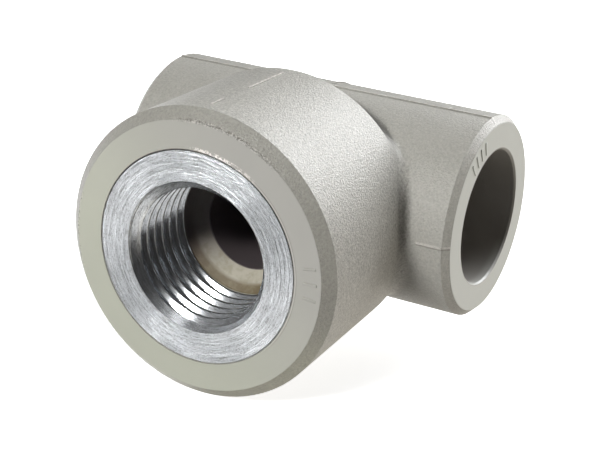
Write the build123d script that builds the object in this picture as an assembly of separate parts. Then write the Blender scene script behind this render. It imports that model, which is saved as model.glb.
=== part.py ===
from build123d import *
import os

# Pipe tee: a moulded plastic body for socket-fused pipe, with a threaded metal insert moulded into its branch.
# The run lies along X, the branch opens towards -Y and +Z is up. The origin is where the two axes cross.
# Sizes are in millimetres.

# Run: the straight barrel
run_length = 53.4
run_diameter = 29.4
run_end_chamfer = 0.95

# Pipe sockets: one in each end of the run, with a plain gauge length and a tapered lead-in
socket_diameter = 19.3
socket_gauge_length = 9.5
socket_lead_in_length = 4.6
socket_lead_in_step = 0.15
socket_mouth_chamfer = 0.25

# Waterway: through the run between the socket stops, and from the branch into the run
waterway_diameter = 13.4
branch_port_diameter = 13.0

# Branch collar: the thick round boss around the insert
centre_to_face = 36.4
collar_length = 26.1
collar_diameter = 40.7
collar_taper = 0.9
collar_front_chamfer = 1.55
collar_rear_radius = 2.0
junction_radius = 1.8

# Threaded insert: bore and end face
thread_minor_diameter = 18.63
thread_mouth_chamfer = 1.28
insert_face_diameter = 29.9

# Threaded insert: lengths along its outside, from the end face inwards
face_flange_length = 3.0
lock_groove_length = 2.0
lock_ring_length = 7.0

# Threaded insert: how far its groove and the lock ring's corners lie inside the end face's edge
lock_groove_depth = 2.0
lock_ring_step = 0.4
lock_ring_sides = 8

# Seat: the plastic funnel behind the insert
seat_lip_width = 1.2
seat_lip_depth = 0.7
port_entry_depth = 1.6

# Parting lines: thin raised ridges left by the mould
ridge_width = 0.32
ridge_height = 0.14
ridge_root = 0.8
socket_ridge_length = 3.8
collar_ridge_inset = 1.9
collar_front_ridge_length = 3.0
collar_rear_ridge_length = 9.4

insert_length = face_flange_length + lock_groove_length + lock_ring_length
run_radius = run_diameter / 2
collar_radius = collar_diameter / 2
collar_rear_edge = collar_radius - collar_taper / 2
run_shoulder = run_length / 2 - run_end_chamfer
thread_radius = thread_minor_diameter / 2
insert_radius = insert_face_diameter / 2

# The branch's turned outlines are drawn as (radius, depth behind the end face) and spun about the branch axis.
# The run's are drawn as (distance from the middle, radius) and spun about the run axis.
branch_face = (0, -centre_to_face, 0)
branch_plane = Plane(origin=branch_face, x_dir=(1, 0, 0), z_dir=(0, 0, 1))
branch_side_plane = Plane(origin=branch_face, x_dir=(0, 1, 0), z_dir=(1, 0, 0))
run_plane = Plane(origin=(0, 0, 0), x_dir=(1, 0, 0), z_dir=(0, -1, 0))


def spun_about_branch(*points):
    """A solid turned about the branch axis from its (radius, depth) outline."""
    outline = branch_plane * Polyline(*points, close=True)
    return revolve(make_face(outline), Axis.Y)


def spun_about_run(*points):
    """A solid turned about the run axis from its (distance from the middle, radius) outline."""
    outline = run_plane * Polyline(*points, close=True)
    return revolve(make_face(outline), Axis.X)


def run_barrel():
    """The run's outside, with a chamfer at each end."""
    half = run_length / 2
    face_radius = run_radius - run_end_chamfer
    return spun_about_run(
        (-half, 0),
        (-half, face_radius),
        (-run_shoulder, run_radius),
        (run_shoulder, run_radius),
        (half, face_radius),
        (half, 0),
    )


def collar():
    """The branch's outside: a boss that narrows slightly from its chamfered front to its rounded rear rim."""
    outline = make_face(
        Polyline(
            (0, 0),
            (collar_radius - collar_front_chamfer, 0),
            (collar_radius, collar_front_chamfer),
            (collar_rear_edge, collar_length),
            (0, collar_length),
            close=True,
        )
    )
    rear_corner = outline.vertices().sort_by_distance((collar_rear_edge, collar_length, 0))[0]
    outline = fillet(rear_corner, collar_rear_radius)
    return revolve(branch_plane * outline, Axis.Y)


def outside_of_body():
    """Run and collar joined, with a rounded valley where they meet."""
    barrel = run_barrel()
    boss = collar()
    joined = barrel + boss
    return fillet(new_edges(barrel, boss, combined=joined), junction_radius)


def pipe_socket():
    """The hollow of the socket at the run's +X end: gauge length, tapered lead-in and chamfered mouth."""
    mouth = run_length / 2
    gauge_radius = socket_diameter / 2
    lead_in_radius = gauge_radius + socket_lead_in_step
    chamfer_start = mouth - socket_mouth_chamfer
    gauge_end = chamfer_start - socket_lead_in_length
    return spun_about_run(
        (gauge_end - socket_gauge_length, 0),
        (gauge_end - socket_gauge_length, gauge_radius),
        (gauge_end, gauge_radius),
        (chamfer_start, lead_in_radius),
        (mouth, lead_in_radius + socket_mouth_chamfer),
        (mouth, 0),
    )


def waterway():
    """The passage through the run, and the branch's funnel and port down to the run axis."""
    run_bore = spun_about_run(
        (-run_length / 2, 0),
        (-run_length / 2, waterway_diameter / 2),
        (run_length / 2, waterway_diameter / 2),
        (run_length / 2, 0),
    )
    lip_end = insert_length + seat_lip_depth
    port_start = lip_end + port_entry_depth
    port_radius = branch_port_diameter / 2
    branch_bore = spun_about_branch(
        (0, insert_length),
        (thread_radius, insert_length),
        (thread_radius - seat_lip_width, lip_end),
        (port_radius, port_start),
        (port_radius, centre_to_face),
        (0, centre_to_face),
    )
    return run_bore + branch_bore


def run_ridge(first, last):
    """A parting ridge along the run's top, between two distances from its middle."""
    crest = run_radius + ridge_height
    root = run_radius - ridge_root
    side = Polyline((first, root), (first, crest), (last, crest), (last, root), close=True)
    return extrude(run_plane * make_face(side), ridge_width / 2, both=True)


def run_back_ridge():
    """The parting ridge over the run's back, half way round from its top to its bottom."""
    section = run_plane * Pos(0, run_radius) * Rectangle(ridge_width, 2 * ridge_height)
    return revolve(section, -Axis.X, 180)


def collar_ridge(first, last):
    """A parting ridge along the collar's top, between two depths, that follows the collar's taper."""
    slope = (collar_radius - collar_rear_edge) / (collar_length - collar_front_chamfer)
    first_radius = collar_radius - slope * (first - collar_front_chamfer)
    last_radius = collar_radius - slope * (last - collar_front_chamfer)
    side = Polyline(
        (first, first_radius - ridge_root),
        (first, first_radius + ridge_height),
        (last, last_radius + ridge_height),
        (last, last_radius - ridge_root),
        close=True,
    )
    return extrude(branch_side_plane * make_face(side), ridge_width / 2, both=True)


def parting_ridges():
    """All the parting ridges: on the run's top, bottom and back, the front of each socket, and the collar."""
    front_start = collar_front_chamfer + collar_ridge_inset
    rear_end = collar_length - collar_rear_radius - collar_ridge_inset
    top = [
        run_ridge(-run_shoulder, run_shoulder),
        collar_ridge(front_start, front_start + collar_front_ridge_length),
        collar_ridge(rear_end - collar_rear_ridge_length, rear_end),
    ]
    bottom = [ridge.mirror(Plane.XY) for ridge in top]
    right_socket = run_ridge(run_shoulder - socket_ridge_length, run_shoulder).rotate(Axis.X, 90)
    left_socket = right_socket.mirror(Plane.YZ)
    return top + bottom + [right_socket, left_socket, run_back_ridge()]


def insert_blank():
    """The insert's outside as a solid: end flange, locking groove, and the eight-sided lock ring behind it."""
    groove_radius = insert_radius - lock_groove_depth
    ring_start = face_flange_length + lock_groove_length
    turned = spun_about_branch(
        (0, 0),
        (insert_radius, 0),
        (insert_radius, face_flange_length),
        (groove_radius, face_flange_length),
        (groove_radius, ring_start),
        (0, ring_start),
    )
    ring_plane = Plane(origin=(0, ring_start - centre_to_face, 0), x_dir=(1, 0, 0), z_dir=(0, 1, 0))
    ring_outline = ring_plane * RegularPolygon(insert_radius - lock_ring_step, lock_ring_sides)
    return turned + extrude(ring_outline, lock_ring_length)


def threaded_insert():
    """The metal insert: its blank with the thread's bore and the chamfer at the mouth."""
    mouth_radius = thread_radius + thread_mouth_chamfer
    bore = spun_about_branch(
        (0, 0),
        (mouth_radius, 0),
        (thread_radius, thread_mouth_chamfer),
        (thread_radius, insert_length),
        (0, insert_length),
    )
    return insert_blank() - bore


def tee_body():
    """The plastic moulding around the insert."""
    body = outside_of_body()
    for ridge in parting_ridges():
        body += ridge
    right_socket = pipe_socket()
    left_socket = right_socket.mirror(Plane.YZ)
    return body - right_socket - left_socket - waterway() - insert_blank()


os.makedirs("parts", exist_ok=True)
pieces = {
    "tee_body": tee_body(),
    "threaded_insert": threaded_insert(),
}
for name, piece in pieces.items():
    export_step(piece, f"parts/{name}.step")
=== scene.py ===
"""A pipe tee: a grey moulded body with two pipe sockets, and a plated, threaded insert in its branch.

The moulding keeps its solid from the frame and is finished here. The insert is turned here, with its thread
cut, and stands for its plain solid. The frame has the run along X, the branch opening towards -Y and +Z up.
The object's sizes are in millimetres and the studio's in metres. The finishes' arcs are in radians, from +X
towards +Z, and other angles are in degrees.
"""

from __future__ import annotations

import logging
import math
from abc import ABC, abstractmethod
from dataclasses import dataclass
from enum import Enum
from typing import Any, Dict, List, Optional, Tuple, Union

import bmesh
import bpy
from mathutils import Matrix, Vector, noise

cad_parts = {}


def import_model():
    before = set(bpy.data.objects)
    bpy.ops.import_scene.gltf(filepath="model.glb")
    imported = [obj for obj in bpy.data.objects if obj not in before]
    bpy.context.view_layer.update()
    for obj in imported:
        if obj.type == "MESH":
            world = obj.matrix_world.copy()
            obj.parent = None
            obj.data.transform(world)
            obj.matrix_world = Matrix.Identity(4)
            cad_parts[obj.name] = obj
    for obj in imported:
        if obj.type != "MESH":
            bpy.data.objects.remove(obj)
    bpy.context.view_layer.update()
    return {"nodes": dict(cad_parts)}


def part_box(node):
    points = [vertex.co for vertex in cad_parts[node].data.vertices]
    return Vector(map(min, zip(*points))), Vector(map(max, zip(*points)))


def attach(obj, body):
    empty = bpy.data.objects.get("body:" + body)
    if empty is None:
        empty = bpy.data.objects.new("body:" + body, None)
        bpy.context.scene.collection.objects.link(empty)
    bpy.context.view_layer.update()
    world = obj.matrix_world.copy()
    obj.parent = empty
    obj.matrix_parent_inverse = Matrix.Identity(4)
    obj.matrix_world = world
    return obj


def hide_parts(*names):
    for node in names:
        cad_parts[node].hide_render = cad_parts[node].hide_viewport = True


MM = 0.001
BODY = "root"

Colour = Tuple[float, float, float, float]
Triple = Tuple[float, float, float]
Span = Tuple[float, float]
Operand = Union["Value", float]
Sockets = Dict[Union[int, str], Any]

WHITE: Colour = (1.0, 1.0, 1.0, 1.0)
END_FACE_GREY: Colour = (0.62, 0.635, 0.605, 1.0)
# Painted deep shade, near black, for the waterway and the funnel's shaded side.
PAINTED_DEEP_SHADE: Colour = (0.085, 0.07, 0.075, 1.0)
# Pale flash for flecks and scrapes, also used for painted highlights on ridges and beside the insert.
PALE_FLASH_AND_HIGHLIGHT: Colour = (0.92, 0.87, 0.84, 1.0)
# Dark for pits and the insert's gap, also used for painted shadows beside ridges and beside the insert.
DARK_PIT_AND_SHADOW: Colour = (0.16, 0.145, 0.12, 1.0)

log = logging.getLogger("pipe_tee")


class Slot(Enum):
    """The record's material slots."""

    PLASTIC = "body_plastic"
    METAL = "insert_metal"


class Reach(Enum):
    """What a studio light shows on."""

    ALL = "all"
    MIRRORED = "only in shiny surfaces"
    DIFFUSE = "only on dull surfaces"


@dataclass(frozen=True)
class Tone:
    """A colour, and how much of it covers what lies under it."""

    colour: Colour
    cover: float = 1.0


@dataclass(frozen=True)
class Pattern:
    """Cloudy noise: its blobs in a millimetre, its finer layers, and how strong those are."""

    per_mm: float
    detail: float = 2.0
    roughness: float = 0.5

    def sockets(self) -> Sockets:
        """The sockets of its Noise node."""
        return {"Scale": self.per_mm, "Detail": self.detail, "Roughness": self.roughness}


class Value:
    """A shader socket that takes part in Python expressions."""

    def __init__(self, book: NodeBook, socket: bpy.types.NodeSocket) -> None:
        """Wraps one output socket of a node book."""
        self.book = book
        self.socket = socket

    def _math(self, operation: str, first: Operand, second: Operand = 0.0) -> Value:
        """Adds one Math node."""
        return self.book.node("ShaderNodeMath", {"operation": operation}, {0: first, 1: second})

    def __add__(self, other: Operand) -> Value:
        """self + other."""
        return self._math("ADD", self, other)

    def __radd__(self, other: float) -> Value:
        """other + self."""
        return self._math("ADD", other, self)

    def __sub__(self, other: Operand) -> Value:
        """self - other."""
        return self._math("SUBTRACT", self, other)

    def __rsub__(self, other: float) -> Value:
        """other - self."""
        return self._math("SUBTRACT", other, self)

    def __mul__(self, other: Operand) -> Value:
        """self * other."""
        return self._math("MULTIPLY", self, other)

    def __rmul__(self, other: float) -> Value:
        """other * self."""
        return self._math("MULTIPLY", other, self)

    def __abs__(self) -> Value:
        """The absolute value."""
        return self._math("ABSOLUTE", self)

    def root(self) -> Value:
        """The square root."""
        return self._math("SQRT", self)

    def angle_to(self, other: Operand) -> Value:
        """The angle of the point (other, self), in radians."""
        return self._math("ARCTAN2", self, other)

    def most(self, other: Operand) -> Value:
        """The larger of two values."""
        return self._math("MAXIMUM", self, other)

    def rise(self, low: float, high: float) -> Value:
        """A soft step from 0 at low to 1 at high."""
        sockets = {"Value": self, "From Min": low, "From Max": high}
        return self.book.node("ShaderNodeMapRange", {"interpolation_type": "SMOOTHSTEP"}, sockets)

    def fall(self, low: float, high: float) -> Value:
        """A soft step from 1 at low to 0 at high."""
        return 1.0 - self.rise(low, high)

    def above(self, limit: float, blur: float) -> Value:
        """1 above a limit, with a soft edge."""
        return self.rise(limit - blur, limit + blur)

    def below(self, limit: float, blur: float) -> Value:
        """1 below a limit, with a soft edge."""
        return self.fall(limit - blur, limit + blur)

    def between(self, low: float, high: float, blur: float) -> Value:
        """1 from low to high, with soft edges."""
        return self.above(low, blur) * self.below(high, blur)


class NodeBook:
    """The node tree of a material or of the room, filled in by expressions."""

    def __init__(self, owner: Union[bpy.types.Material, bpy.types.World]) -> None:
        """Starts with an empty tree.

        Args:
            owner: the material or world that the tree belongs to.
        """
        owner.use_nodes = True
        self.owner = owner
        self.tree = owner.node_tree
        self.tree.nodes.clear()

    @classmethod
    def for_material(cls, name: str) -> NodeBook:
        """Starts a material of that name."""
        return cls(bpy.data.materials.new(name))

    def node(
        self,
        kind: str,
        settings: Optional[Dict[str, Any]] = None,
        inputs: Optional[Sockets] = None,
        output: Union[int, str] = 0,
    ) -> Value:
        """Adds a node.

        Args:
            kind: the node's type.
            settings: its properties, which are set first.
            inputs: a number, a colour or a Value for each socket, by index or name.
            output: which output to return.

        Returns:
            The chosen output.
        """
        made = self.tree.nodes.new(kind)
        for key, setting in (settings or {}).items():
            setattr(made, key, setting)
        for key, given in (inputs or {}).items():
            if isinstance(given, Value):
                self.tree.links.new(given.socket, made.inputs[key])
            else:
                made.inputs[key].default_value = given
        return Value(self, made.outputs[output])

    def place(self) -> Value:
        """The point on the object, in millimetres."""
        point = self.node("ShaderNodeTexCoord", output="Object")
        return self.node("ShaderNodeVectorMath", {"operation": "SCALE"}, {0: point, "Scale": 1.0 / MM})

    def parts_of(self, vector: Value) -> Tuple[Value, Value, Value]:
        """Splits a vector.

        Args:
            vector: the vector.

        Returns:
            Its x, y and z.
        """
        split = self.node("ShaderNodeSeparateXYZ", inputs={0: vector})
        x, y, z = (Value(self, part) for part in split.socket.node.outputs)
        return x, y, z

    def vector(self, x: Operand, y: Operand, z: Operand) -> Value:
        """A vector from three values."""
        return self.node("ShaderNodeCombineXYZ", inputs={0: x, 1: y, 2: z})

    def noise(self, at: Value, pattern: Pattern) -> Value:
        """Cloudy noise from 0 to 1 at a point in millimetres."""
        return self.node("ShaderNodeTexNoise", inputs={"Vector": at, **pattern.sockets()})

    def cells(self, at: Value, per_mm: float) -> Value:
        """The distance to the nearest of many scattered points."""
        return self.node("ShaderNodeTexVoronoi", inputs={"Vector": at, "Scale": per_mm})

    def mix(self, amount: Operand, first: Union[Value, Colour], second: Union[Value, Colour]) -> Value:
        """A colour between two colours."""
        sockets = {"Factor": amount, 6: first, 7: second}
        return self.node("ShaderNodeMix", {"data_type": "RGBA"}, sockets, output=2)

    def coat(self, under: Value, mask: Value, tone: Tone) -> Value:
        """A colour with a tone laid over it where a mask is 1."""
        return self.mix(mask * tone.cover, under, tone.colour)

    def shade(self, colour: Value, amount: Value) -> Value:
        """Makes a colour darker or lighter.

        Args:
            colour: the colour.
            amount: what it is multiplied by, around 1.

        Returns:
            The new colour.
        """
        grey = self.node("ShaderNodeCombineColor", inputs={0: amount, 1: amount, 2: amount})
        settings = {"data_type": "RGBA", "blend_type": "MULTIPLY"}
        return self.node("ShaderNodeMix", settings, {"Factor": 1.0, 6: colour, 7: grey}, output=2)

    def bump(self, height: Value, rise_mm: float, under: Optional[Value] = None) -> Value:
        """A surface normal tilted by a height.

        Args:
            height: the height, around 0 to 1.
            rise_mm: what a height of 1 stands for.
            under: the normal that it is laid on.

        Returns:
            The normal.
        """
        sockets: Sockets = {"Height": height, "Distance": rise_mm * MM, "Strength": 1.0}
        if under is not None:
            sockets["Normal"] = under
        return self.node("ShaderNodeBump", inputs=sockets)

    def surface(self, sockets: Sockets) -> bpy.types.Material:
        """Ends the tree with a Principled shader.

        Args:
            sockets: the shader's inputs.

        Returns:
            The material.
        """
        shader = self.node("ShaderNodeBsdfPrincipled", inputs=sockets)
        end = self.tree.nodes.new("ShaderNodeOutputMaterial")
        self.tree.links.new(shader.socket, end.inputs["Surface"])
        return self.owner


@dataclass(frozen=True)
class TeeSizes:
    """Where the tee's faces lie: those that the frame gives, then those that its boxes don't show."""

    face: float
    insert_rear: float
    insert_radius: float
    run_end: float
    floor: float
    collar_radius: float = 20.35
    collar_slope: float = 0.0183
    chamfer_depth: float = 1.55
    socket_mouth_radius: float = 10.05
    thread_radius: float = 9.315
    port_radius: float = 6.5

    @classmethod
    def from_frame(cls) -> TeeSizes:
        """Reads the boxes of the two solids.

        Returns:
            The sizes.
        """
        body_low, body_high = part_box("tee_body")
        insert_low, insert_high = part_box("threaded_insert")
        return cls(
            face=insert_low.y / MM,
            insert_rear=insert_high.y / MM,
            insert_radius=insert_high.x / MM,
            run_end=body_high.x / MM,
            floor=body_low.z / MM,
        )

    @property
    def face_edge(self) -> float:
        """The radius of the branch's end face, where its chamfer starts."""
        return self.collar_radius - self.chamfer_depth


class TeePlace:
    """A point on the tee's surface, as shader values."""

    def __init__(self, book: NodeBook, sizes: TeeSizes) -> None:
        """Measures the point from the branch's axis and end face.

        Args:
            book: the material's node tree.
            sizes: where the tee's faces lie.
        """
        self.book = book
        self.sizes = sizes
        self.at = book.place()
        self.x, self.y, self.z = book.parts_of(self.at)
        self.from_branch = (self.x * self.x + self.z * self.z).root()
        self.around = self.z.angle_to(self.x)
        self.depth = self.y - sizes.face


class MouldPlace(TeePlace):
    """A point on the moulding, with masks that are 1 in the zones of its surface."""

    FACE_SKIN = 0.04
    SKIN_BLUR = 0.02
    ZONE_MARGIN = 0.1
    SEAT_MARGIN = 0.135
    ZONE_BLUR = 0.05
    SEAT_START: Span = (-0.1, -0.05)
    SEAT_END: Span = (-1.0, 0.0)

    def __init__(self, book: NodeBook, sizes: TeeSizes) -> None:
        """Measures the point and finds its zones.

        Args:
            book: the material's node tree.
            sizes: where the tee's faces lie.
        """
        super().__init__(book, sizes)
        self.off_middle = abs(self.x)
        self.from_run = (self.y * self.y + self.z * self.z).root()
        self.seat_depth = self.y - sizes.insert_rear
        self.front = self.depth.below(self.FACE_SKIN, self.SKIN_BLUR)
        run_face = self.off_middle.above(sizes.run_end - self.FACE_SKIN, self.SKIN_BLUR)
        self.smooth = self.front.most(run_face)
        front_slice = self.depth.between(self.FACE_SKIN, sizes.chamfer_depth, self.SKIN_BLUR)
        self.chamfer = front_slice * self.from_branch.rise(sizes.insert_radius, sizes.face_edge)
        self.in_run = self._inside(self.from_run, sizes.socket_mouth_radius + self.ZONE_MARGIN)
        seat_slice = self.seat_depth.rise(*self.SEAT_START) * self.y.fall(*self.SEAT_END)
        self.in_seat = self._inside(self.from_branch, sizes.thread_radius + self.SEAT_MARGIN) * seat_slice
        self.hollow = self.in_run.most(self.in_seat)
        in_port = self._inside(self.from_branch, sizes.port_radius + self.ZONE_MARGIN)
        self.in_port = self.hollow * in_port
        self.grained = (1.0 - self.smooth) * (1.0 - self.hollow)

    def _inside(self, distance: Value, radius: float) -> Value:
        """1 within a radius of an axis."""
        return distance.below(radius, self.ZONE_BLUR)


class Layer(ABC):
    """Tones that are laid over the plain colours of the moulding: stains and flecks, and painted shade,
    light, highlights and shadows.
    """

    @abstractmethod
    def over(self, place: MouldPlace, colour: Value) -> Value:
        """Lays the tones over a colour.

        Args:
            place: the point on the moulding.
            colour: the colour under the tones.

        Returns:
            The colour with the tones on it.
        """


@dataclass(frozen=True)
class HollowStainsAndShade(Layer):
    """Painted shade in the hollows: darker socket walls with a painted lit lip low in each mouth, and a
    funnel behind the insert with random stains, a painted dark lip, painted shade towards its upper left and
    a near-black painted waterway.
    """

    # Painted shade: the socket walls are darker than the sides.
    socket: Tone = Tone((0.33, 0.315, 0.295, 1.0))
    # Painted light: a lighter lip low inside each socket's mouth.
    painted_socket_lip_light: Tone = Tone(END_FACE_GREY, 0.6)
    socket_lip_inset: Span = (1.7, 0.2)
    socket_lip_height: Span = (-8.5, -5.5)
    funnel: Tone = Tone((0.48, 0.45, 0.375, 1.0))
    # Painted shade: a dark lip in the recess just behind the insert.
    painted_funnel_lip_shade: Tone = Tone((0.15, 0.115, 0.06, 1.0))
    funnel_lip_depth: Span = (0.45, 0.85)
    stain: Tone = Tone((0.27, 0.235, 0.15, 1.0), 0.45)
    stain_pattern: Pattern = Pattern(0.8, 4.0, 0.65)
    stain_levels: Span = (0.42, 0.68)
    # Painted shade: the funnel darkens towards its upper left.
    shade: Tone = Tone(PAINTED_DEEP_SHADE, 0.85)
    shade_slope: float = 0.6
    shade_fade: Span = (-3.0, 7.0)
    # Painted shade: the waterway behind the port is near black.
    waterway: Tone = Tone(PAINTED_DEEP_SHADE)

    def over(self, place: MouldPlace, colour: Value) -> Value:
        """Lays the stains, the painted shade and the painted light of the hollows over a colour.

        Args:
            place: the point on the moulding.
            colour: the colour under the tones.

        Returns:
            The colour with the tones on it.
        """
        book = place.book
        lip_start, lip_end = (place.sizes.run_end - inset for inset in self.socket_lip_inset)
        painted_socket_lip_light = place.off_middle.rise(lip_start, lip_end) * place.z.fall(*self.socket_lip_height)
        # Painted shade on the socket walls, then painted light on their low lips.
        colour = book.coat(colour, place.in_run, self.socket)
        colour = book.coat(colour, place.in_run * painted_socket_lip_light, self.painted_socket_lip_light)
        painted_funnel_lip_shade = place.seat_depth.fall(*self.funnel_lip_depth)
        stains = book.noise(place.at, self.stain_pattern).rise(*self.stain_levels)
        shade = (place.x * self.shade_slope - place.z).fall(*self.shade_fade)
        colour = book.coat(colour, place.in_seat, self.funnel)
        # Painted shade on the funnel's lip just behind the insert.
        colour = book.coat(colour, place.in_seat * painted_funnel_lip_shade, self.painted_funnel_lip_shade)
        colour = book.coat(colour, place.in_seat * stains, self.stain)
        # Painted shade towards the funnel's upper left.
        colour = book.coat(colour, place.in_seat * shade, self.shade)
        # Near-black painted shade in the waterway.
        return book.coat(colour, place.in_port, self.waterway)


@dataclass(frozen=True)
class InsertEdge(Layer):
    """The plastic's edge around the insert's end face: torn flecks, a thin pale line and a dark line outside
    it painted as the lit side and the shadow of a small step, and a dark gap.
    """

    fleck: Tone = Tone(PALE_FLASH_AND_HIGHLIGHT)
    fleck_pattern: Pattern = Pattern(3.8, 1.0)
    fleck_levels: Span = (0.47, 0.52)
    fleck_band: Span = (-0.05, 0.45)
    fleck_arc: Span = (1.0, 1.6)
    fleck_blur: float = 0.1
    # Painted highlight: a thin pale line for the lit side of a small step beside the insert.
    lip: Tone = Tone(PALE_FLASH_AND_HIGHLIGHT, 0.3)
    lip_band: Span = (0.09, 0.19)
    # Painted shadow: a dark line just outside that painted highlight.
    lip_shadow: Tone = Tone(DARK_PIT_AND_SHADOW, 0.4)
    lip_shadow_band: Span = (0.25, 0.35)
    lip_blur: float = 0.04
    lip_arc: Span = (-0.7, 1.1)
    lip_arc_blur: float = 0.3
    gap: Tone = Tone(DARK_PIT_AND_SHADOW, 0.75)
    gap_fade: Span = (0.03, 0.10)

    def over(self, place: MouldPlace, colour: Value) -> Value:
        """Lays the flecks, the painted highlight and shadow lines and the gap of the insert's edge over a
        colour.

        Args:
            place: the point on the moulding.
            colour: the colour under the tones.

        Returns:
            The colour with the tones on it.
        """
        book = place.book
        outwards = place.from_branch - place.sizes.insert_radius
        flecks = book.noise(place.at, self.fleck_pattern).rise(*self.fleck_levels)
        torn_arc = place.front * place.around.between(*self.fleck_arc, self.fleck_blur)
        torn = torn_arc * outwards.between(*self.fleck_band, self.fleck_blur)
        lip_arc = place.front * place.around.between(*self.lip_arc, self.lip_arc_blur)
        colour = book.coat(colour, torn * flecks, self.fleck)
        # The painted highlight line, then the painted shadow line outside it.
        colour = book.coat(colour, lip_arc * outwards.between(*self.lip_band, self.lip_blur), self.lip)
        lip_shadow = lip_arc * outwards.between(*self.lip_shadow_band, self.lip_blur)
        colour = book.coat(colour, lip_shadow, self.lip_shadow)
        return book.coat(colour, place.front * outwards.fall(*self.gap_fade), self.gap)


@dataclass(frozen=True)
class Stripe:
    """A tone in a narrow band along a parting ridge: the pale ones are painted highlights and the dark ones
    painted shadows.
    """

    tone: Tone
    band: Span
    blur: float


@dataclass(frozen=True)
class PartingRidgeLightAndShade(Layer):
    """Painted highlights on the crests and painted shadows beside them along the raised parting ridges."""

    # The run's top ridge: a painted highlight on its crest and rear side, and a painted shadow on its front
    # side.
    run_stripes: Tuple[Stripe, ...] = (
        Stripe(Tone(PALE_FLASH_AND_HIGHLIGHT, 0.25), (-0.12, 0.3), 0.04),
        Stripe(Tone(DARK_PIT_AND_SHADOW, 0.4), (-0.55, -0.16), 0.06),
    )
    run_shell: Span = (14.0, 15.5)
    run_shell_blur: float = 0.1
    run_height: Span = (14.0, 14.2)
    # The sockets' front ridges: a painted highlight on the crest, and a painted shadow under it.
    socket_stripes: Tuple[Stripe, ...] = (
        Stripe(Tone(PALE_FLASH_AND_HIGHLIGHT, 0.35), (-0.14, 0.16), 0.04),
        Stripe(Tone(DARK_PIT_AND_SHADOW, 0.45), (-0.40, -0.16), 0.06),
    )
    socket_inset: Span = (5.0, 4.6)
    # Painted highlight along the collar's top ridge.
    collar_crest_highlight: Tone = Tone(PALE_FLASH_AND_HIGHLIGHT, 0.55)
    collar_crest_width: Span = (0.15, 0.2)
    collar_crest_height: Span = (0.05, 0.09)
    front_end: Span = (24.0, 24.5)

    def over(self, place: MouldPlace, colour: Value) -> Value:
        """Lays the painted highlights and shadows of the ridges over a colour.

        Args:
            place: the point on the moulding.
            colour: the colour under the tones.

        Returns:
            The colour with the tones on it.
        """
        book, sizes = place.book, place.sizes
        in_front = place.depth.fall(*self.front_end)
        ridge_start, ridge_full = (sizes.run_end - inset for inset in self.socket_inset)
        socket = place.off_middle.rise(ridge_start, ridge_full) * in_front * place.grained
        run = place.from_run.between(*self.run_shell, self.run_shell_blur)
        run = run * abs(place.z).rise(*self.run_height)
        # Painted highlights and shadows along the run's and the sockets' ridges.
        for ridge, across, stripes in (
            (run, place.y, self.run_stripes),
            (socket, place.z, self.socket_stripes),
        ):
            for stripe in stripes:
                line = ridge * across.between(*stripe.band, stripe.blur)
                colour = book.coat(colour, line, stripe.tone)
        # Painted highlight on the collar's top ridge.
        taper = (place.depth - sizes.chamfer_depth) * sizes.collar_slope
        above_collar = place.from_branch + taper - sizes.collar_radius
        crest = place.off_middle.fall(*self.collar_crest_width) * above_collar.rise(*self.collar_crest_height)
        return book.coat(colour, crest * in_front, self.collar_crest_highlight)


@dataclass(frozen=True)
class CreaseShade(Layer):
    """Painted shade in the valley where the collar meets the run, weaker in its lower half."""

    # Painted shade: a near-black tone laid in the crease.
    tone: Tone = Tone((0.075, 0.07, 0.063, 1.0), 0.9)
    collar_band: Span = (19.2, 20.75)
    collar_blur: float = 0.65
    run_start: Span = (13.6, 14.2)
    run_fade: Span = (15.2, 17.2)
    height: Span = (-8.0, 7.0)
    height_blur: float = 3.0
    rear_fade: Span = (26.0, 30.0)
    low_share: float = 0.4
    low_fade: Span = (-3.0, 1.5)

    def over(self, place: MouldPlace, colour: Value) -> Value:
        """Lays the painted shade of the valley over a colour.

        Args:
            place: the point on the moulding.
            colour: the colour under the tone.

        Returns:
            The colour with the tone on it.
        """
        on_run = place.from_run.rise(*self.run_start) * place.from_run.fall(*self.run_fade)
        valley = place.from_branch.between(*self.collar_band, self.collar_blur) * on_run
        reach = place.z.between(*self.height, self.height_blur) * place.depth.fall(*self.rear_fade)
        strength = self.low_share + place.z.rise(*self.low_fade) * (1.0 - self.low_share)
        # Painted shade in the crease.
        return place.book.coat(colour, valley * reach * strength, self.tone)


@dataclass(frozen=True)
class EdgeWear:
    """Small pits and scrapes along two arcs of the branch's front edge."""

    pit: Tone = Tone(DARK_PIT_AND_SHADOW, 0.55)
    pit_levels: Span = (0.54, 0.60)
    pit_height: float = 0.05
    scrape: Tone = Tone(PALE_FLASH_AND_HIGHLIGHT, 0.35)
    scrape_levels: Span = (0.40, 0.46)
    scuff_pattern: Pattern = Pattern(4.4)
    band: Span = (-0.22, 0.3)
    band_blur: float = 0.1
    band_depth: Span = (0.25, 0.4)
    upper_arc: Span = (0.908, 1.710)
    upper_arc_blur: float = 0.12
    left_arc_start: Span = (2.793, 2.897)

    def marks(self, place: MouldPlace) -> Tuple[Value, Value]:
        """Finds the worn spots.

        Args:
            place: the point on the moulding.

        Returns:
            The masks of the pits and of the scrapes.
        """
        off_edge = place.from_branch - place.sizes.face_edge
        edge = off_edge.between(*self.band, self.band_blur) * place.depth.fall(*self.band_depth)
        upper = place.around.between(*self.upper_arc, self.upper_arc_blur)
        worn = edge * upper.most(abs(place.around).rise(*self.left_arc_start))
        scuffs = place.book.noise(place.at, self.scuff_pattern)
        return worn * scuffs.rise(*self.pit_levels), worn * scuffs.fall(*self.scrape_levels)


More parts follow.
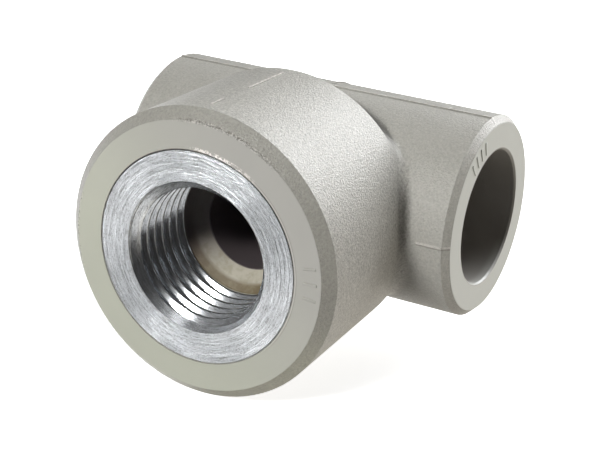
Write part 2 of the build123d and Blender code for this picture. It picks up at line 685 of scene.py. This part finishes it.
@dataclass(frozen=True)
class MouldedPlastic:
    """Grey polypropylene: spark-eroded sides, smooth end faces, darker walls in its hollows and crease as
    painted shade, and painted light and shade on its branch face, chamfer and ridges.
    """

    sizes: TeeSizes
    side_colour: Colour = (0.44, 0.43, 0.40, 1.0)
    end_colour: Colour = END_FACE_GREY
    # Painted shade: the branch's end face is lighter and greener towards its lower left and darker towards
    # its upper right.
    painted_lit_face_colour: Colour = (0.505, 0.515, 0.435, 1.0)
    painted_shaded_face_colour: Colour = (0.425, 0.415, 0.39, 1.0)
    face_fade: Span = (-16.0, 24.0)
    # Painted light and shade: the front chamfer is lighter low down and darker high up.
    lit_low_chamfer_colour: Colour = (0.54, 0.535, 0.455, 1.0)
    shaded_high_chamfer_colour: Colour = (0.37, 0.36, 0.33, 1.0)
    chamfer_fade: Span = (-13.0, -3.0)
    layers: Tuple[Layer, ...] = (HollowStainsAndShade(), InsertEdge(), PartingRidgeLightAndShade(), CreaseShade())
    wear: EdgeWear = EdgeWear()
    grain_pattern: Pattern = Pattern(3.2, 3.0, 0.62)
    grain_middle: float = 0.5
    grain_share: float = 0.7
    grain_height: float = 0.14
    pebbles_per_mm: float = 4.48
    pebble_share: float = 0.45
    speckle: float = 0.8
    collar_speckle: float = 0.9
    collar_zone: Span = (20.6, 21.2)
    collar_end: Span = (24.0, 26.0)
    cloud_pattern: Pattern = Pattern(0.16, 3.0)
    cloud_least: float = 0.95
    cloud_depth: float = 0.10
    roughness: float = 0.28
    grain_roughness: float = 0.04
    seat_roughness: float = 0.25
    cloud_roughness: float = 0.06
    refraction: float = 1.49

    def material(self) -> bpy.types.Material:
        """Builds the finish.

        Returns:
            The material, patterned by place on the object.
        """
        book = NodeBook.for_material("grey_moulded_plastic")
        place = MouldPlace(book, self.sizes)
        colour = self._plain_colour(place)
        for layer in self.layers:
            colour = layer.over(place, colour)
        pits, scrapes = self.wear.marks(place)
        colour = book.coat(colour, pits, self.wear.pit)
        colour = book.coat(colour, scrapes, self.wear.scrape)

        grain = book.noise(place.at, self.grain_pattern)
        clouds = book.noise(place.at, self.cloud_pattern)
        clouding = self.cloud_least + clouds * self.cloud_depth
        colour = book.shade(colour, self._speckles(place, grain) * clouding)
        roughness = self.roughness + place.grained * self.grain_roughness
        roughness = roughness + place.in_seat * self.seat_roughness + clouds * self.cloud_roughness
        pebbles = book.cells(place.at, self.pebbles_per_mm)
        relief = grain * self.grain_share + pebbles * self.pebble_share
        normal = book.bump(relief * place.grained, self.grain_height)
        normal = book.bump(0.0 - pits, self.wear.pit_height, normal)
        return book.surface(
            {"Base Color": colour, "Roughness": roughness, "Normal": normal, "IOR": self.refraction}
        )

    def _plain_colour(self, place: MouldPlace) -> Value:
        """Colours the sides, the end faces and the branch's chamfer, with painted shade across the branch's
        end face and painted light and shade on its chamfer.

        Args:
            place: the point on the moulding.

        Returns:
            The colour.
        """
        book = place.book
        # Painted shade across the branch's end face, from its lower left to its upper right.
        face_fade = (place.x + place.z).rise(*self.face_fade)
        face_colour = book.mix(face_fade, self.painted_lit_face_colour, self.painted_shaded_face_colour)
        # Painted light and shade on the chamfer, from its low side to its high side.
        chamfer_fade = place.z.rise(*self.chamfer_fade)
        chamfer_colour = book.mix(chamfer_fade, self.lit_low_chamfer_colour, self.shaded_high_chamfer_colour)
        colour = book.mix(place.smooth, self.side_colour, self.end_colour)
        colour = book.mix(place.front, colour, face_colour)
        return book.mix(place.chamfer, colour, chamfer_colour)

    def _speckles(self, place: MouldPlace, grain: Value) -> Value:
        """Darkens and lightens the grained sides, and the collar the most.

        Args:
            place: the point on the moulding.
            grain: the grain's noise.

        Returns:
            What the colour is multiplied by.
        """
        on_collar = place.from_branch.fall(*self.collar_zone) * place.depth.fall(*self.collar_end)
        strength = self.speckle + on_collar * (1.0 - place.chamfer) * self.collar_speckle
        return 1.0 + (grain - self.grain_middle) * place.grained * strength


@dataclass(frozen=True)
class PlatedBrass:
    """Nickel plating over turned brass: rings on the end face and the mouth, and a shiny thread."""

    sizes: TeeSizes
    plate_colour: Colour = (0.80, 0.825, 0.85, 1.0)
    dull_colour: Colour = (0.43, 0.44, 0.45, 1.0)
    dull_levels: Span = (0.36, 0.56)
    face_skin: Span = (0.02, 0.05)
    mouth_end: Span = (1.2, 1.3)
    mean_radius: float = 12.5
    ring_pattern: Pattern = Pattern(8.0, 3.0, 0.65)
    ring_stretch: float = 0.003
    ring_height: float = 0.16
    mouth_rings: float = 0.08
    stroke_pattern: Pattern = Pattern(3.4, 3.0, 0.7)
    stroke_squeeze: float = 1.5
    stroke_stretch: float = 0.16
    stroke_height: float = 0.02
    mouth_strokes: float = 0.2
    sparkle_pattern: Pattern = Pattern(6.5, 2.0, 0.7)
    sparkle_share: float = 0.45
    sparkle_height: float = 0.022
    thread_height: float = 0.006
    torn_arc: Span = (-1.45, -0.3)
    torn_blur: float = 0.25
    torn_lift: float = 4.0
    roughness: float = 0.12
    turned_roughness: float = 0.095
    stroke_roughness: float = 0.15
    mouth_roughness: float = 0.10
    torn_roughness: float = 0.10
    sparkle_roughness: float = 0.05

    def material(self) -> bpy.types.Material:
        """Builds the finish.

        Returns:
            The material, patterned by distance from the branch axis.
        """
        book = NodeBook.for_material("nickel_plated_brass")
        place = TeePlace(book, self.sizes)
        turned = place.depth.fall(*self.face_skin)
        mouth = (1.0 - turned) * place.depth.fall(*self.mouth_end)
        torn = (1.0 - turned) * place.around.between(*self.torn_arc, self.torn_blur)

        radius, along = place.from_branch, place.around * self.mean_radius
        on_rings = book.vector(radius, along * self.ring_stretch, place.depth)
        on_strokes = book.vector(radius * self.stroke_squeeze, along * self.stroke_stretch, place.depth)
        rings = book.noise(on_rings, self.ring_pattern)
        strokes = book.noise(on_strokes, self.stroke_pattern)
        sparkle = book.noise(place.at, self.sparkle_pattern)

        speckle = sparkle * self.sparkle_share + strokes * (1.0 - self.sparkle_share)
        colour = book.mix(speckle.rise(*self.dull_levels), self.dull_colour, self.plate_colour)
        roughness = self.roughness + turned * (self.turned_roughness + strokes * self.stroke_roughness)
        roughness = roughness + mouth * self.mouth_roughness + torn * self.torn_roughness
        roughness = roughness + sparkle * self.sparkle_roughness
        normal = book.bump(rings * (turned + mouth * self.mouth_rings), self.ring_height)
        normal = book.bump(strokes * (turned + mouth * self.mouth_strokes), self.stroke_height, normal)
        normal = book.bump(sparkle * turned, self.sparkle_height, normal)
        thread_grain = sparkle * (1.0 - turned) * (1.0 + torn * self.torn_lift)
        normal = book.bump(thread_grain, self.thread_height, normal)
        return book.surface(
            {"Base Color": colour, "Metallic": 1.0, "Roughness": roughness, "Normal": normal}
        )


def as_object(name: str, mesh: bmesh.types.BMesh, material: bpy.types.Material) -> bpy.types.Object:
    """Makes an object of a finished bmesh.

    Args:
        name: the object's name.
        mesh: its bmesh in metres, which is freed.
        material: its finish.

    Returns:
        The object, in the scene.
    """
    data = bpy.data.meshes.new(name)
    mesh.to_mesh(data)
    mesh.free()
    data.materials.append(material)
    made = bpy.data.objects.new(name, data)
    bpy.context.scene.collection.objects.link(made)
    return made


def new_piece(
    name: str, mesh: bmesh.types.BMesh, material: bpy.types.Material
) -> bpy.types.Object:
    """Makes a piece of a finished bmesh, fixed to the one body.

    Args:
        name: the piece's name.
        mesh: its bmesh in millimetres, which is freed.
        material: its finish.

    Returns:
        The piece.
    """
    bmesh.ops.transform(mesh, matrix=Matrix.Scale(MM, 4), verts=mesh.verts)
    piece = as_object(name, mesh, material)
    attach(piece, BODY)
    log.info("%s: %d faces", name, len(piece.data.polygons))
    return piece


def round_edges(
    mesh: bmesh.types.BMesh, edges: List[bmesh.types.BMEdge], offset: float, segments: int
) -> None:
    """Rounds the edges of a bmesh.

    Args:
        mesh: the bmesh.
        edges: the edges to round.
        offset: how far from an edge the rounding starts.
        segments: the number of faces across it.
    """
    bmesh.ops.bevel(
        mesh,
        geom=edges,
        offset=offset,
        offset_type="OFFSET",
        affect="EDGES",
        segments=segments,
        profile=0.5,
        material=-1,
    )


@dataclass
class ThreadedInsert:
    """The metal insert: a helical pipe thread, a flat end face, and a locking ring hidden in the plastic."""

    sizes: TeeSizes
    pitch: float = 1.814
    major_radius: float = 10.478
    crest_width: float = 0.302
    crest_round: float = 0.148
    crest_segments: int = 4
    flank_angle: float = 27.5
    lead_turns: float = 2.0
    spare_turns: float = 1.0
    steps_per_turn: int = 96
    mouth_chamfer: float = 1.28
    edge_break: float = 0.2
    flange_length: float = 3.0
    groove_length: float = 2.0
    groove_depth: float = 2.0
    ring_step: float = 0.4
    ring_sides: int = 8
    smooth_angle: float = 24.0
    near: float = 1e-3
    weld_gap: float = 1e-4
    cut_gap: float = 1e-5

    def build(self, finish: PlatedBrass) -> bpy.types.Object:
        """Turns the insert and gives it its finish.

        Args:
            finish: the plating.

        Returns:
            The piece, which stands for the plain solid.
        """
        mesh = bmesh.new()
        self._cut_thread(mesh)
        self._open_mouth(mesh)
        self._turn_outside(mesh)
        bmesh.ops.remove_doubles(mesh, verts=mesh.verts, dist=self.weld_gap)
        bmesh.ops.recalc_face_normals(mesh, faces=mesh.faces)
        piece = new_piece("pipe_thread_insert", mesh, finish.material())
        piece.data.shade_smooth()
        piece.data.set_sharp_from_angle(angle=math.radians(self.smooth_angle))
        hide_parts("threaded_insert")
        return piece

    def _cut_thread(self, mesh: bmesh.types.BMesh) -> None:
        """Spins one pitch of the thread's outline into a helix longer than the insert, and rounds it.

        Args:
            mesh: the insert, still empty.
        """
        minor_radius = self.sizes.thread_radius
        flank = (self.major_radius - minor_radius) * math.tan(math.radians(self.flank_angle))
        start = self.sizes.face - self.lead_turns * self.pitch
        outline = [
            (minor_radius, 0.0),
            (minor_radius, self.crest_width),
            (self.major_radius, self.crest_width + flank),
            (self.major_radius, self.pitch - flank),
            (minor_radius, self.pitch),
        ]
        points = [mesh.verts.new((radius, start + along, 0.0)) for radius, along in outline]
        for first, second in zip(points, points[1:]):
            mesh.edges.new((first, second))
        turns = (self.sizes.insert_rear - start) / self.pitch + self.spare_turns
        steps = math.ceil(turns * self.steps_per_turn)
        bmesh.ops.spin(
            mesh,
            geom=mesh.verts[:] + mesh.edges[:],
            cent=(0.0, 0.0, 0.0),
            axis=(0.0, 1.0, 0.0),
            dvec=(0.0, self.pitch / self.steps_per_turn, 0.0),
            angle=2.0 * math.pi * steps / self.steps_per_turn,
            steps=steps,
        )
        bmesh.ops.remove_doubles(mesh, verts=mesh.verts, dist=self.near)
        corner_angle = math.radians(self.smooth_angle)
        corners = [edge for edge in mesh.edges if edge.calc_face_angle(0.0) > corner_angle]
        round_edges(mesh, corners, self.crest_round, self.crest_segments)

    def _open_mouth(self, mesh: bmesh.types.BMesh) -> None:
        """Opens the thread to its mouth chamfer and cuts it off at the two ends.

        Args:
            mesh: the insert, with its thread cut.
        """
        mouth_radius = self.sizes.thread_radius + self.mouth_chamfer
        for vertex in mesh.verts:
            chamfer_radius = mouth_radius - (vertex.co.y - self.sizes.face)
            self._set_radius(vertex, max(self._radius(vertex), chamfer_radius))
        for end, outwards in ((self.sizes.face, -1.0), (self.sizes.insert_rear, 1.0)):
            bmesh.ops.bisect_plane(
                mesh,
                geom=mesh.verts[:] + mesh.edges[:] + mesh.faces[:],
                dist=self.cut_gap,
                plane_co=(0.0, end, 0.0),
                plane_no=(0.0, outwards, 0.0),
                clear_outer=True,
            )

    def _turn_outside(self, mesh: bmesh.types.BMesh) -> None:
        """Draws the mouth's rim out over the end face and back along the outside to the thread's inner end.

        Args:
            mesh: the insert, with its thread cut off at both ends.
        """
        face, rear, outer = self.sizes.face, self.sizes.insert_rear, self.sizes.insert_radius
        flange_end = face + self.flange_length
        ring_start = flange_end + self.groove_length
        groove_radius = outer - self.groove_depth
        inner_rim = self._rim(mesh, rear)
        rim = self._rim(mesh, face)
        for radius, along in (
            (outer - self.edge_break, face),
            (outer, face + self.edge_break),
            (outer, flange_end),
            (groove_radius, flange_end),
            (groove_radius, ring_start),
        ):
            rim = self._drawn_to(mesh, rim, radius, along)
        for along in (ring_start, rear):
            rim = self._drawn_to(mesh, rim, outer - self.ring_step, along, self.ring_sides)
        bmesh.ops.bridge_loops(mesh, edges=rim + inner_rim)

    @staticmethod
    def _radius(vertex: bmesh.types.BMVert) -> float:
        """A vertex's distance from the branch axis."""
        return math.hypot(vertex.co.x, vertex.co.z)

    def _set_radius(self, vertex: bmesh.types.BMVert, radius: float) -> None:
        """Moves a vertex straight out or in.

        Args:
            vertex: the vertex.
            radius: its new distance from the branch axis.
        """
        scale = radius / self._radius(vertex)
        vertex.co.x *= scale
        vertex.co.z *= scale

    def _rim(self, mesh: bmesh.types.BMesh, along: float) -> List[bmesh.types.BMEdge]:
        """The open edges at one place along the branch axis."""
        open_edges = [edge for edge in mesh.edges if edge.is_boundary]
        return [edge for edge in open_edges if all(abs(end.co.y - along) < self.near for end in edge.verts)]

    def _drawn_to(
        self,
        mesh: bmesh.types.BMesh,
        rim: List[bmesh.types.BMEdge],
        radius: float,
        along: float,
        sides: int = 0,
    ) -> List[bmesh.types.BMEdge]:
        """Extrudes a rim to a new radius and place.

        Args:
            mesh: the insert.
            rim: the open edges to extrude.
            radius: the new radius, to the corners where there are sides.
            along: the new place along the branch axis.
            sides: 0 for a circle, or the number of flat sides.

        Returns:
            The new rim.
        """
        drawn = bmesh.ops.extrude_edge_only(mesh, edges=rim)["geom"]
        for vertex in (item for item in drawn if isinstance(item, bmesh.types.BMVert)):
            reach = radius
            if sides:
                half = math.pi / sides
                turn = math.atan2(vertex.co.z, vertex.co.x) % (2.0 * half)
                reach = radius * math.cos(half) / math.cos(turn - half)
            self._set_radius(vertex, reach)
            vertex.co.y = along
        return [item for item in drawn if isinstance(item, bmesh.types.BMEdge)]


@dataclass
class TeeBody:
    """The plastic moulding as its solid has it, with small marks that the mould leaves on its end faces."""

    sizes: TeeSizes
    tick_width: float = 0.34
    tick_height: float = 0.1
    tick_round: float = 0.05
    tick_segments: int = 2
    branch_tick_span: Span = (16.3, 18.2)
    branch_tick_angles: Tuple[float, ...] = (9.0, 2.0, -5.0)
    socket_tick_span: Span = (10.9, 13.0)
    socket_tick_angles: Tuple[float, ...] = (108.0, 115.0, 122.0, 129.0)
    flash_angles: Span = (58.0, 92.0)
    flash_section: Tuple[Span, ...] = ((-0.4, 0.5), (0.0, -1.0), (0.6, 0.5))
    flash_width: float = 0.34
    flash_height: float = 0.07
    flash_steps: int = 72
    flash_least: float = 0.25
    flash_swell: float = 1.5
    flash_waves: float = 23.0
    flash_seed: Span = (0.3, 0.7)

    def build(self, finish: MouldedPlastic, node: bpy.types.Object) -> None:
        """Gives the moulding its finish and its small marks.

        Args:
            finish: the plastic.
            node: the moulding's solid.
        """
        material = finish.material()
        node.data.materials.clear()
        node.data.materials.append(material)
        log.info("%s: %d faces", node.name, len(node.data.polygons))
        z_to_front = Matrix.Rotation(math.pi / 2.0, 4, "X")
        onto_branch = Matrix.Translation((0.0, self.sizes.face, 0.0)) @ z_to_front
        z_to_right = Matrix(((0.0, 0.0, 1.0), (1.0, 0.0, 0.0), (0.0, 1.0, 0.0))).to_4x4()
        onto_socket = Matrix.Translation((self.sizes.run_end, 0.0, 0.0)) @ z_to_right
        for name, span, angles, onto in (
            ("branch_ticks", self.branch_tick_span, self.branch_tick_angles, onto_branch),
            ("socket_ticks", self.socket_tick_span, self.socket_tick_angles, onto_socket),
        ):
            self._raise_ticks(name, span, angles, onto, material)
        self._leave_flash(material)

    def _raise_ticks(
        self,
        name: str,
        span: Span,
        angles: Tuple[float, ...],
        onto: Matrix,
        material: bpy.types.Material,
    ) -> None:
        """Raises short radial ticks on an end face.

        Args:
            name: the piece's name.
            span: the ticks' inner and outer ends, as distances from the face's axis.
            angles: where they stand around the axis, in degrees.
            onto: takes the plane z = 0, and its axis, to the end face.
            material: the plastic.
        """
        mesh = bmesh.new()
        length, middle = span[1] - span[0], sum(span) / 2.0
        size = Matrix.Diagonal((length, self.tick_width, 2.0 * self.tick_height, 1.0))
        for angle in angles:
            turned = Matrix.Rotation(math.radians(angle), 4, "Z") @ Matrix.Translation((middle, 0.0, 0.0))
            bmesh.ops.create_cube(mesh, size=1.0, matrix=turned @ size)
        round_edges(mesh, mesh.edges[:], self.tick_round, self.tick_segments)
        bmesh.ops.transform(mesh, matrix=onto, verts=mesh.verts)
        new_piece(name, mesh, material).data.shade_smooth()

    def _leave_flash(self, material: bpy.types.Material) -> None:
        """Leaves a thin, ragged lip of plastic beside the insert's end face.

        Args:
            material: the plastic.
        """
        mesh = bmesh.new()
        face, inner = self.sizes.face, self.sizes.insert_radius
        low, high = (math.radians(angle) for angle in self.flash_angles)
        corners = [
            mesh.verts.new((inner + across * self.flash_width, face + out * self.flash_height, 0.0))
            for across, out in self.flash_section
        ]
        mesh.faces.new(corners)
        turned = Matrix.Rotation(-low, 3, "Y")
        bmesh.ops.rotate(mesh, cent=(0.0, 0.0, 0.0), matrix=turned, verts=mesh.verts)
        bmesh.ops.spin(
            mesh,
            geom=mesh.faces[:],
            cent=(0.0, 0.0, 0.0),
            axis=(0.0, -1.0, 0.0),
            angle=high - low,
            steps=self.flash_steps,
        )
        for vertex in mesh.verts:
            place = (math.atan2(vertex.co.z, vertex.co.x) - low) / (high - low)
            swell = math.sqrt(math.sin(math.pi * min(max(place, 0.0), 1.0)))
            ragged = (1.0 + noise.noise(Vector((place * self.flash_waves, *self.flash_seed)))) / 2.0
            height = self.flash_least + self.flash_swell * swell * ragged
            vertex.co.y = face + (vertex.co.y - face) * height
        bmesh.ops.recalc_face_normals(mesh, faces=mesh.faces)
        new_piece("mould_flash", mesh, material)


@dataclass(frozen=True)
class Softbox:
    """A flat studio light, card or fill that faces the object."""

    name: str
    towards: Triple
    watts: float
    width: float
    height: float
    tint: Triple = (1.0, 1.0, 1.0)
    reach: Reach = Reach.ALL
    distance: float = 0.5

    @classmethod
    def card(cls, name: str, towards: Triple, watts: float, width: float, height: float) -> Softbox:
        """A white card that shows only in shiny surfaces."""
        return cls(name, towards, watts, width, height, reach=Reach.MIRRORED)

    def hang(self) -> None:
        """Hangs the light out from the object."""
        place = Vector(self.towards).normalized() * self.distance
        data = bpy.data.lights.new(self.name, "AREA")
        data.shape = "RECTANGLE"
        data.size = self.width
        data.size_y = self.height
        data.energy = self.watts
        data.color = self.tint
        lamp = bpy.data.objects.new(self.name, data)
        lamp.visible_diffuse = self.reach is not Reach.MIRRORED
        lamp.visible_glossy = self.reach is not Reach.DIFFUSE
        lamp.location = place
        lamp.rotation_mode = "QUATERNION"
        lamp.rotation_quaternion = (-place).to_track_quat("-Z", "Y")
        bpy.context.scene.collection.objects.link(lamp)


@dataclass(frozen=True)
class Glow:
    """A soft patch of light in the room, by the cosines of the angles where it starts and is full."""

    towards: Triple
    colour: Colour
    start: float
    full: float

    def strength(self, book: NodeBook, looking: Value) -> Value:
        """Finds how much of the patch is seen in a direction.

        Args:
            book: the room's node tree.
            looking: the direction.

        Returns:
            0 outside the patch, to 1 in its middle.
        """
        sockets = {0: looking, 1: Vector(self.towards).normalized()}
        facing = book.node("ShaderNodeVectorMath", {"operation": "DOT_PRODUCT"}, sockets, "Value")
        return facing.rise(self.start, self.full)


@dataclass(frozen=True)
class Room:
    """The dim room, with soft light thrown back from low down behind the object and before it."""

    dim_colour: Colour = (0.032, 0.031, 0.031, 1.0)
    glows: Tuple[Glow, ...] = (
        Glow((0.5, 0.55, -0.66), (0.90, 0.85, 0.76, 1.0), 0.1, 0.95),
        Glow((-0.45, -0.5, -0.72), (0.12, 0.12, 0.115, 1.0), 0.55, 0.95),
    )

    def light(self) -> None:
        """Lights the room."""
        book = NodeBook(bpy.data.worlds.new("studio"))
        looking = book.node("ShaderNodeTexCoord", output="Generated")
        colour: Union[Value, Colour] = self.dim_colour
        for glow in self.glows:
            colour = book.mix(glow.strength(book, looking), colour, glow.colour)
        light = book.node("ShaderNodeBackground", inputs={"Color": colour})
        end = book.tree.nodes.new("ShaderNodeOutputWorld")
        book.tree.links.new(light.socket, end.inputs["Surface"])
        bpy.context.scene.world = book.owner


@dataclass(frozen=True)
class Viewpoint:
    """The camera: where it stands around the object, in degrees and millimetres."""

    azimuth: float = 27.883
    elevation: float = 22.197
    roll: float = 2.623
    distance: float = 230.523
    across: float = 3.718
    above: float = 6.955
    lens: float = 91.79
    sensor: float = 36.0
    clip_start: float = 10.0

    def shoot(self) -> None:
        """Makes the scene's camera."""
        turn, tilt, roll = (math.radians(angle) for angle in (self.azimuth, self.elevation, self.roll))
        back = Vector((math.sin(turn) * math.cos(tilt), -math.cos(turn) * math.cos(tilt), math.sin(tilt)))
        level = Vector((0.0, 0.0, 1.0)).cross(back).normalized()
        upright = back.cross(level)
        right = math.cos(roll) * level + math.sin(roll) * upright
        up = math.cos(roll) * upright - math.sin(roll) * level
        place = (self.distance * back - self.across * right - self.above * up) * MM
        data = bpy.data.cameras.new("photo_camera")
        data.sensor_fit = "HORIZONTAL"
        data.sensor_width = self.sensor
        data.lens = self.lens
        data.clip_start = self.clip_start * MM
        camera = bpy.data.objects.new("photo_camera", data)
        camera.matrix_world = Matrix.Translation(place) @ Matrix((right, up, back)).transposed().to_4x4()
        bpy.context.scene.collection.objects.link(camera)
        bpy.context.scene.camera = camera


@dataclass
class Studio:
    """The pale floor, the soft lights and the camera."""

    sizes: TeeSizes
    floor_width: float = 6.0
    floor_colour: Colour = (0.9, 0.9, 0.9, 1.0)
    floor_cloud_pattern: Pattern = Pattern(0.004)
    floor_cloud: Tone = Tone(WHITE, 0.1)
    floor_roughness: float = 0.9
    floor_glow: float = 0.75
    lights: Tuple[Softbox, ...] = (
        Softbox("back_light", (0.27, 0.82, 0.50), 4.05, 0.4, 0.4, (0.97, 0.985, 1.0)),
        Softbox("front_light", (-0.10, -0.83, 0.54), 2.0, 0.08, 0.07, (1.0, 1.0, 0.97), Reach.DIFFUSE),
        Softbox("low_fill", (-0.6, -0.5, -0.6), 0.35, 0.3, 0.3, reach=Reach.DIFFUSE),
        Softbox.card("gleam_card", (-0.175, -0.86, 0.485), 1.5, 0.08, 0.07),
        Softbox.card("mouth_card", (-0.1, -0.48, 0.87), 0.09, 0.1, 0.1),
        Softbox.card("ring_card", (-0.43, -0.82, -0.38), 0.21, 0.24, 0.24),
        Softbox.card("left_ring_card", (-0.74, -0.63, -0.24), 0.33, 0.12, 0.12),
        Softbox.card("right_ring_card", (-0.14, -0.87, -0.48), 0.18, 0.12, 0.12),
        Softbox.card("glare_card", (-0.185, -0.86, 0.47), 0.21, 0.19, 0.2),
        Softbox.card("glare_halo_card", (-0.185, -0.86, 0.47), 0.06, 0.34, 0.28),
        Softbox.card("low_card", (0.32, -0.64, -0.70), 0.22, 0.36, 0.36),
        Softbox.card("under_card", (-0.15, -0.36, -0.92), 0.03, 0.4, 0.4),
        Softbox.card("left_card", (-0.82, 0.43, -0.38), 1.4, 0.5, 0.5),
        Softbox.card("left_front_card", (-0.69, -0.64, 0.335), 0.05, 0.5, 0.5),
    )
    room: Room = Room()
    viewpoint: Viewpoint = Viewpoint()

    def build(self) -> None:
        """Sets up the studio around the object."""
        self._lay_floor()
        self.room.light()
        for light in self.lights:
            light.hang()
        self.viewpoint.shoot()
        bpy.context.scene.view_settings.view_transform = "Standard"

    def _floor_material(self) -> bpy.types.Material:
        """Builds the floor's finish.

        Returns:
            The material, pale and faintly clouded.
        """
        book = NodeBook.for_material("pale_floor")
        clouds = book.noise(book.place(), self.floor_cloud_pattern)
        colour = book.mix(clouds * self.floor_cloud.cover, self.floor_colour, self.floor_cloud.colour)
        return book.surface(
            {
                "Base Color": colour,
                "Roughness": self.floor_roughness,
                "Emission Color": WHITE,
                "Emission Strength": self.floor_glow,
            }
        )

    def _lay_floor(self) -> None:
        """Lays the floor under the object, where only the camera finds it and it throws no light back."""
        mesh = bmesh.new()
        bmesh.ops.create_grid(mesh, x_segments=1, y_segments=1, size=self.floor_width / 2.0)
        bmesh.ops.translate(mesh, vec=(0.0, 0.0, self.sizes.floor * MM), verts=mesh.verts)
        floor = as_object("floor", mesh, self._floor_material())
        floor.visible_diffuse = False
        floor.visible_glossy = False
        floor.visible_shadow = False


def main() -> None:
    """Builds the pieces in order."""
    logging.basicConfig(level=logging.INFO, format="%(name)s: %(message)s")
    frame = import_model()
    sizes = TeeSizes.from_frame()
    TeeBody(sizes).build(MouldedPlastic(sizes), frame["nodes"]["tee_body"])
    ThreadedInsert(sizes).build(PlatedBrass(sizes))
    Studio(sizes).build()


if __name__ == "__main__":
    main()
